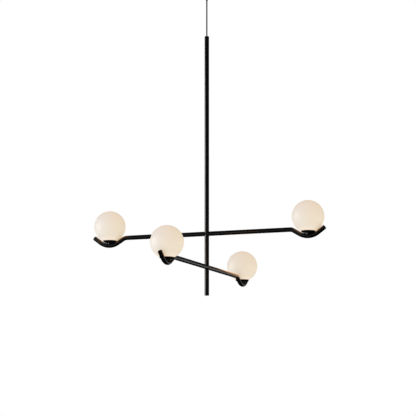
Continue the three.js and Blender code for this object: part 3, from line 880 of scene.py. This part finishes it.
class CHANDELIER_OT_arms(Operator):
    """Bend the two arms and close their tips"""

    bl_idname = "chandelier.arms"
    bl_label = "Arms"

    def execute(self, context):
        arms, lamps = settings("arms"), settings("lamps")
        recipe, black = swept_tube_recipe(), finish_named("satin_black")
        for node, end in (("upper_arm_tube", "right"), ("lower_arm_tube", "back")):
            (way, reach), height = outward(end), arm_axis(end, arms, lamps)
            half = half_route(arms, reach)
            route = [(-s, z) for s, z in reversed(half)] + half
            points = [way * s + upwards(height + z) for s, z in route]
            stock = {"Sides": arms.sides, "Material": black}
            skins = [
                grown(node, recipe, line_curve(node, points), Radius=radius, **stock)
                for radius in (arms.tube / 2, arms.tube / 2 - arms.wall)
            ]
            piece(walled(f"{node}_bent", *skins), "lamp", "satin_black", node)
        for end in ENDS:
            self.tip_plug(end, arms, lamps)
        return {"FINISHED"}

    def tip_plug(self, end, arms, lamps):
        (way, reach), height = outward(end), arm_axis(end, arms, lamps)
        across, rise = half_route(arms, reach)[-1]
        across += arms.seat_gap * cos(arms.up)
        rise += arms.seat_gap * sin(arms.up)
        radius, spigot = arms.tube / 2, arms.tube / 2 - arms.wall - 3 * arms.seat_gap
        profile = eased(
            (0.0, -arms.plug_depth),
            (spigot, -arms.plug_depth, SOFT),
            (spigot, 0.0),
            (radius, 0.0, BROKEN),
            (radius, arms.plug_flange, ROUND),
            (0.0, arms.plug_flange),
        )
        plug = turned(f"tip_plug_{end}_turned", profile, arms.sides)
        tilt = Matrix.Rotation(QUARTER - arms.up, 4, upwards(1.0).cross(way))
        spot = way * across + upwards(height + rise)
        plug.transform(Matrix.Translation(spot) @ tilt)
        piece(plug, "lamp", "satin_black", f"tip_plug_{end}")


# Stem


class CHANDELIER_OT_stem(Operator):
    """Cope the three stem tubes round the arms and cap their ends"""

    bl_idname = "chandelier.stem"
    bl_label = "Stem"

    def execute(self, context):
        arms, lamps, stem = settings("arms"), settings("lamps"), settings("stem")
        radius, gap = arms.tube / 2, arms.seat_gap
        upper, lower = arm_axis("right", arms, lamps), arm_axis("back", arms, lamps)
        top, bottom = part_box("stem_top_cap")[1].z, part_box("stem_foot_cap")[0].z

        def on_arm(axis, side, across):
            """The end that sits on an arm: above it for side 1, below it for side -1."""
            seat = radius + gap
            return lambda x, y: axis + side * sqrt(seat**2 - (y if across else x) ** 2)

        top_seam, foot_seam = top - stem.top_cap, bottom + stem.foot_cap
        lengths = {
            "stem_upper_tube": (on_arm(upper, 1, True), lambda x, y: top_seam - gap),
            "stem_middle_tube": (on_arm(lower, 1, False), on_arm(upper, -1, True)),
            "stem_lower_tube": (lambda x, y: foot_seam + gap, on_arm(lower, -1, False)),
        }
        radii = (radius, radius - arms.wall)
        for node, (low, high) in lengths.items():
            tube = coped_tube(f"{node}_coped", radii, 2 * arms.sides, low, high)
            piece(tube, "lamp", "satin_black", node)
        self.caps(stem, arms, radius, radius - arms.wall - gap, top, bottom)
        return {"FINISHED"}

    def caps(self, stem, arms, radius, spigot, top, bottom):
        bore, pocket = stem.cable_bore / 2, stem.rod / 2 + arms.seat_gap
        top_seam, foot_seam = top - stem.top_cap, bottom + stem.foot_cap
        upper = [
            (bore, top_seam - stem.spigot, FINE),
            (spigot, top_seam - stem.spigot, EASED),
            (spigot, top_seam),
            (radius, top_seam, BROKEN),
            (radius, top, stem.top_round),
            (bore, top, LIGHT),
        ]
        foot = [
            (0.0, bottom),
            (radius, bottom, stem.foot_round),
            (radius, foot_seam, BROKEN),
            (spigot, foot_seam),
            (spigot, foot_seam + stem.spigot, EASED),
            (pocket, foot_seam + stem.spigot, FINE),
            (pocket, foot_seam),
            (0.0, foot_seam),
        ]
        caps = (("stem_top_cap", upper, True), ("stem_foot_cap", foot, False))
        for node, profile, closed in caps:
            cap = turned(f"{node}_turned", eased(*profile), arms.sides, closed=closed)
            piece(cap, "lamp", "satin_black", node)


# Canopy and cable


class CHANDELIER_OT_canopy(Operator):
    """Spin the canopy and turn its collar"""

    bl_idname = "chandelier.canopy"
    bl_label = "Canopy"

    def execute(self, context):
        canopy, gap = settings("canopy"), settings("arms").seat_gap
        self.cup(canopy, gap)
        self.collar(canopy, settings("stem").cable_bore / 2, gap)
        return {"FINISHED"}

    def cup(self, canopy, gap):
        radius, floor = canopy.cup / 2, -canopy.depth
        hole, inner = canopy.collar_spigot / 2 + gap, radius - canopy.wall
        centre, ceiling = (radius - canopy.edge, canopy.edge - canopy.depth), -canopy.ceiling_gap
        profile = [
            (hole, floor),
            *arc(centre, canopy.edge, -QUARTER, 0.0, steps=12),
            (radius, ceiling - BROKEN),
            (radius - BROKEN, ceiling),
            (inner + BROKEN, ceiling),
            (inner, ceiling - BROKEN),
            *arc(centre, canopy.edge - canopy.wall, 0.0, -QUARTER, steps=10),
            (hole, floor + canopy.wall),
        ]
        cup = turned("canopy_cup_spun", profile, canopy.sides, closed=True)
        piece(cup, "canopy", "satin_black", "canopy_cup")

    def collar(self, canopy, bore, gap):
        low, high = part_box("canopy_collar")
        tip, nose = canopy.collar_tip / 2, low.z + canopy.collar_nose
        outer, spigot = canopy.collar / 2, canopy.collar_spigot / 2
        shoulder = -canopy.depth - gap
        grip = shoulder - canopy.collar_grip
        profile = eased(
            (bore, low.z),
            (tip, low.z, FINE),
            (tip, nose, canopy.nose_hollow),
            (outer, grip, canopy.collar_round),
            (outer, shoulder, FINE),
            (spigot, shoulder),
            (spigot, high.z, FINE),
            (bore, high.z, FINE),
        )
        collar = turned("canopy_collar_turned", profile, canopy.sides // 2, closed=True)
        hole, depth = canopy.screw / 2 + gap, canopy.collar
        drill = turned("drill", [(0.0, 0.0), (hole, 0.0), (hole, depth), (0.0, depth)], sides=24)
        middle = Matrix.Translation(upwards((grip + shoulder) / 2))
        drill.transform(middle @ Matrix.Rotation(-QUARTER, 4, "X"))
        collar = carved("canopy_collar_turned", collar, drill)
        piece(collar, "canopy", "satin_black", "canopy_collar", name="canopy_collar_turned")


class CHANDELIER_OT_cable(Operator):
    """Hang the supply cable, taut between the cord grip and the stem"""

    bl_idname = "chandelier.cable"
    bl_label = "Supply cable"

    def execute(self, context):
        canopy = settings("canopy")
        low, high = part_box("supply_cable")
        steps = 24
        drop = low.z - high.z
        points = [Vector((0.0, 0.0, high.z + drop * i / steps)) for i in range(steps + 1)]
        mesh = grown(
            "supply_cable_sheath",
            swept_tube_recipe(),
            line_curve("supply_cable", points),
            Radius=canopy.cable / 2,
            Sides=canopy.sides // 4,
            Ends=True,
            Material=finish_named("cable"),
        )
        smooth(mesh, TUBE_EDGE)
        cable = piece(mesh, "ceiling_fitting", "cable", "supply_cable")
        return {"FINISHED"}


# Lamps


def bowl_radius(lamps):
    """Radius of the dish's arc, beyond its flat floor."""
    width = (lamps.dish - lamps.dish_floor) / 2
    return (width**2 + lamps.dish_depth**2) / (2 * lamps.dish_depth)


def holder_levels(lamps):
    """Heights of the lampholder's underside, its two steps and its top."""
    heights = (lamps.holder_rise, lamps.base_height, lamps.skirt_height, lamps.body_height)
    return list(accumulate(heights))


def pin_boxes(name, end, lamps, slack, height, level):
    """A box at each of a bulb's two pins, with a slack round it."""
    for side in (-1, 1):
        flat = [lamps.pin_width + 2 * slack, lamps.pin_thickness + 2 * slack]
        spot = [side * lamps.pin_spacing / 2, 0.0]
        if end in ("back", "front"):
            flat.reverse()
            spot.reverse()
        yield box_mesh(name, (*flat, height), seat_of(end) + Vector((*spot, level)))


class CHANDELIER_OT_dishes(Operator):
    """Spin the dishes and turn the washers under them"""

    bl_idname = "chandelier.dishes"
    bl_label = "Dishes"

    def execute(self, context):
        arms, lamps = settings("arms"), settings("lamps")
        radius, floor, hole = bowl_radius(lamps), lamps.dish_floor / 2, lamps.nipple_hole
        inner, drop = radius - lamps.dish_wall, radius - lamps.dish_depth
        outer = arc((floor, radius), radius, -QUARTER, -asin(drop / radius), steps=20)
        inside = arc((floor, radius), inner, -asin(drop / inner), -QUARTER, steps=16)
        edge = rim(outer, inside, EASED)
        profile = [(hole, 0.0), *outer[:-1], *edge, *inside[1:], (hole, lamps.dish_wall)]
        for end in ENDS:
            dish = turned(f"dish_{end}_spun", profile, lamps.sides, seat_of(end), closed=True)
            piece(dish, "lamp", "satin_black", f"dish_{end}")
            self.washer(end, arms, lamps)
        return {"FINISHED"}

    def washer(self, end, arms, lamps):
        """A washer whose underside fits the saddle, along the bend and across the tube."""
        way, _ = outward(end)
        round_tube, bend = arms.tube / 2, arms.saddle - arms.tube / 2

        def underside(x, y):
            along, across = x * way.x + y * way.y, x * way.y - y * way.x
            climb = bend - sqrt(bend**2 - along**2)
            fall = round_tube - sqrt(round_tube**2 - across**2)
            return max(arms.seat_gap + climb - fall, -lamps.washer_skirt) - lamps.dish_rise

        name, radii = f"saddle_washer_{end}_coped", (lamps.washer / 2, lamps.nipple_hole)
        top, seat = (lambda x, y: -arms.seat_gap), seat_of(end)
        washer = coped_tube(name, radii, lamps.sides, underside, top, seat)
        piece(washer, "lamp", "satin_black", f"saddle_washer_{end}")


class CHANDELIER_OT_lampholders(Operator):
    """Mould the lampholders, with their threads and pin slots"""

    bl_idname = "chandelier.lampholders"
    bl_label = "Lampholders"

    def execute(self, context):
        lamps = settings("lamps")
        base, skirt, body = lamps.holder_base / 2, lamps.holder_skirt / 2, lamps.holder_body / 2
        root, hole, depth = skirt - lamps.thread_depth, lamps.nipple_hole, lamps.thread_depth
        low, step, neck, top = holder_levels(lamps)
        profile = eased(
            (0.0, low + lamps.recess),
            (hole, low + lamps.recess),
            (hole, low),
            (base, low, SOFT),
            (base, step, LIGHT),
            (root, step, EASED),
            (root, neck, EASED),
            (body, neck, ROUND),
            (body, top, ROUND),
            (0.0, top),
        )
        recipe, height = thread_recipe(), lamps.skirt_height - 2 * depth
        gap = lamps.running_gap
        for end in ENDS:
            seat, name = seat_of(end), f"lampholder_{end}_moulded"
            slots = pin_boxes("slot", end, lamps, gap, 2 * (lamps.pin_length + gap), top)
            holder = turned(name, profile, lamps.sides, seat)
            holder = painted(carved(name, holder, *slots), "ceramic")
            thread = grown(
                "thread",
                recipe,
                bpy.data.meshes.new("thread"),
                Radius=root,
                Turns=height / lamps.thread_pitch,
                Height=height,
                Crest=depth,
                Base=tuple(seat + upwards(step + depth)),
                Material=finish_named("ceramic"),
            )
            smooth(thread, THREAD_EDGE)
            piece(joined(name, holder, thread), "lamp", "ceramic", f"lampholder_{end}")
        return {"FINISHED"}


class CHANDELIER_OT_bulbs(Operator):
    """Make the plug-in bulbs: a base with two flat pins under a frosted lens"""

    bl_idname = "chandelier.bulbs"
    bl_label = "Bulbs"

    def execute(self, context):
        arms, lamps = settings("arms"), settings("lamps")
        radius, low = lamps.bulb / 2, holder_levels(lamps)[-1] + arms.seat_gap
        join, top = low + lamps.bulb_base, low + lamps.bulb_length
        groove = 0.001  # under the lens, as high as it is deep
        base = eased(
            (0.0, low),
            (radius - LIGHT, low, ROUND),
            (radius - LIGHT, join - groove, FINE),
            (radius - groove, join - groove),
            (radius - groove, join),
            (0.0, join),
        )
        lens = [
            *eased((0.0, join), (radius, join, LIGHT), (radius, join + lamps.bulb_base / 2)),
            *arc((0.0, top - radius), radius, 0.0, QUARTER, steps=16),
        ]
        tall = lamps.pin_length + lamps.bulb_base / 2
        middle = low - lamps.pin_length + tall / 2
        for end in ENDS:
            seat, body = seat_of(end), f"bulb_{end}"
            pins = pin_boxes("pin", end, lamps, 0.0, tall, middle)
            parts = [
                painted(turned("bulb_base", base, lamps.bulb_sides, seat), "ceramic"),
                painted(turned("bulb_lens", lens, lamps.bulb_sides, seat), "bulb"),
                *(painted(pin, "zinc_steel") for pin in pins),
            ]
            piece(joined(f"{body}_frosted", *parts), body, "bulb", body)
        return {"FINISHED"}


class CHANDELIER_OT_globes(Operator):
    """Blow the opal globes and mould the rings bonded in their mouths"""

    bl_idname = "chandelier.globes"
    bl_label = "Globes"

    def execute(self, context):
        arms, lamps = settings("arms"), settings("lamps")
        radius, mouth = lamps.globe / 2, lamps.mouth / 2
        flange, bowl = lamps.ring_flange / 2, bowl_radius(lamps)
        inner, reach = bowl - lamps.dish_wall, flange - lamps.dish_floor / 2
        ring_low = bowl - sqrt(inner**2 - reach**2) + arms.seat_gap
        flange_top = ring_low + lamps.flange_height
        lip = flange_top + arms.seat_gap
        centre, inside = (0.0, lip + sqrt(radius**2 - mouth**2)), radius - lamps.glass
        outer = arc(centre, radius, -acos(mouth / radius), QUARTER, steps=56)
        inner_skin = arc(centre, inside, QUARTER, -acos(mouth / inside), steps=40)
        edge = rim(inner_skin, outer, lamps.mouth_round)
        glass = [*inner_skin[:-1], *edge, *outer[1:]]
        bore, throat = lamps.holder_skirt / 2 + lamps.running_gap, mouth - arms.seat_gap
        top = flange_top + lamps.ring_rise
        ring = eased(
            (bore, ring_low, LIGHT),
            (flange, ring_low, FINE),
            (flange, flange_top, FINE),
            (throat, flange_top),
            (throat, top, EASED),
            (bore, top, LIGHT),
        )
        for end in ENDS:
            seat, body = seat_of(end), f"globe_{end}"
            shell = turned(f"{body}_blown", glass, lamps.sides, seat)
            self.rise(shell, seat.z + lip, lamps.globe)
            piece(shell, body, "opal_glass", body)
            collar = turned(f"neck_ring_{end}_moulded", ring, lamps.sides, seat, closed=True)
            piece(collar, body, "ring_black", f"neck_ring_{end}")
        return {"FINISHED"}

    @staticmethod
    def rise(mesh, low, height):
        """Marks each point with its share of the globe's height."""
        levels = mesh.attributes.new("rise", "FLOAT", "POINT")
        for point, level in zip(mesh.vertices, levels.data):
            level.value = (point.co.z - low) / height


class CHANDELIER_OT_fittings(Operator):
    """Finish the ceiling fitting, the wiring and the small hardware"""

    bl_idname = "chandelier.fittings"
    bl_label = "Fittings"

    def execute(self, context):
        slots = {part["node"]: part["material_slot"] for part in frame["record"]["subparts"]}
        for name, node in frame["nodes"].items():
            if not node.hide_render:
                painted(node.data, slots[name])
        return {"FINISHED"}


# Stage


class CHANDELIER_OT_stage(Operator):
    """Set up the camera, the lights, the world and the floor"""

    bl_idname = "chandelier.stage"
    bl_label = "Stage"

    def execute(self, context):
        stage = settings("stage")
        context.scene.view_settings.view_transform = "Standard"
        self.camera(context, stage)
        self.world(context, stage)
        self.floor(stage.floor, settings("finishes").floor)
        self.area(stage, "key").visible_glossy = False
        self.area(stage, "softbox").visible_diffuse = False
        return {"FINISHED"}

    def camera(self, context, stage):
        camera = linked("camera", bpy.data.cameras.new("camera"))
        camera.data.lens = stage.lens
        camera.location = stage.camera
        sine, cosine = sin(stage.heading), cos(stage.heading)
        level = cos(stage.pitch)
        ahead = Vector((-sine * level, cosine * level, sin(stage.pitch)))
        camera.rotation_euler = ahead.to_track_quat("-Z", "Y").to_euler()
        context.scene.camera = camera

    def world(self, context, stage):
        world = bpy.data.worlds.new("studio")
        world.use_nodes = True
        context.scene.world = world
        tree = Tree(world.node_tree)
        seen, glossy = tree.ray("Camera").most(tree.ray("Transmission")), tree.ray("Glossy")
        way = tree.node("ShaderNodeTexCoord", out="Generated")
        across, along, rise = (
            tree.node("ShaderNodeSeparateXYZ", None, way, out=axis) for axis in "XYZ"
        )
        back = across * sin(stage.heading) - along * cos(stage.heading)
        soft_edge, by_camera, far_side = (0.04, 0.17), (0.75, 0.9), (-0.97, -0.8)
        band = 1 - abs(rise + stage.horizon).steps(*soft_edge)
        band = band * (1 - back.steps(*by_camera)) * back.steps(*far_side)
        mirrored = stage.mirror_dark + band * (stage.mirror - stage.mirror_dark)
        level = seen + (1 - seen) * (glossy * mirrored + (1 - glossy) * stage.daylight)
        light = tree.node("ShaderNodeBackground", None, (1.0, 1.0, 1.0), level)
        tree.node("ShaderNodeOutputWorld", Surface=light)

    def floor(self, drop, tint):
        """White to the camera, matt to other rays, and unseen from below and in reflections."""
        mesh, half = bpy.data.meshes.new("studio_floor"), 30.0
        corners = [(-half, -half), (half, -half), (half, half), (-half, half)]
        mesh.from_pydata([(x, y, -drop) for x, y in corners], [], [(0, 1, 2, 3)])
        look = Look("studio_floor")
        matt = look.node("ShaderNodeBsdfDiffuse", None, tint)
        white = look.node("ShaderNodeEmission", None, (1.0, 1.0, 1.0), 1.0)
        clear = look.node("ShaderNodeBsdfTransparent")
        below = look.node("ShaderNodeNewGeometry", out="Backfacing")
        away = look.node("ShaderNodeVectorMath", {"operation": "LENGTH"}, look.place(), out="Value")
        near_white, fade = 0.6, (3.5, 9.0)
        paper = near_white + (1 - near_white) * away.steps(*fade)
        top = look.node("ShaderNodeMixShader", None, look.ray("Camera") * paper, matt, white)
        unseen = below.most(look.ray("Glossy"))
        look.output(Surface=look.node("ShaderNodeMixShader", None, unseen, top, clear))
        mesh.materials.append(look.material)
        linked("studio_floor", mesh)

    def area(self, stage, name):
        """A soft rectangular light that faces the arms."""
        data = bpy.data.lights.new(name, "AREA")
        data.energy, data.shape = getattr(stage, name), "RECTANGLE"
        data.color = getattr(stage, f"{name}_tint")
        data.size, data.size_y = getattr(stage, f"{name}_width"), getattr(stage, f"{name}_height")
        light = linked(name, data)
        light.location = getattr(stage, f"{name}_place")
        aim = upwards(-stage.aim) - light.location
        light.rotation_euler = aim.to_track_quat("-Z", "Y").to_euler()
        return light


class CHANDELIER_PT_panel(Panel):
    """Lists the pieces of the chandelier"""

    bl_idname = "CHANDELIER_PT_panel"
    bl_label = "Branch Chandelier"
    bl_space_type = "VIEW_3D"
    bl_region_type = "UI"
    bl_category = "Chandelier"

    def draw(self, context):
        for operator in OPERATORS:
            self.layout.operator(operator.bl_idname)
        for key in GROUPS:
            box = self.layout.box()
            box.label(text=key.capitalize())
            group = settings(key)
            for name in group.__annotations__:
                box.prop(group, name)


GROUPS = {
    "arms": ArmSizes,
    "stem": StemSizes,
    "lamps": LampSizes,
    "canopy": CanopySizes,
    "finishes": Finishes,
    "stage": StageSettings,
}

OPERATORS = (
    CHANDELIER_OT_stage,
    CHANDELIER_OT_cable,
    CHANDELIER_OT_canopy,
    CHANDELIER_OT_stem,
    CHANDELIER_OT_arms,
    CHANDELIER_OT_dishes,
    CHANDELIER_OT_lampholders,
    CHANDELIER_OT_bulbs,
    CHANDELIER_OT_globes,
    CHANDELIER_OT_fittings,
)


def register():
    for cls in (*GROUPS.values(), *OPERATORS, CHANDELIER_PT_panel):
        bpy.utils.register_class(cls)
    for key, group in GROUPS.items():
        setattr(bpy.types.Scene, f"chandelier_{key}", PointerProperty(type=group))


def unregister():
    for key in GROUPS:
        delattr(bpy.types.Scene, f"chandelier_{key}")
    for cls in (CHANDELIER_PT_panel, *reversed(OPERATORS), *reversed(GROUPS.values())):
        bpy.utils.unregister_class(cls)


def main():
    register()
    for operator in OPERATORS:
        getattr(bpy.ops.chandelier, operator.bl_idname.split(".")[1])()


if __name__ == "__main__":
    main()
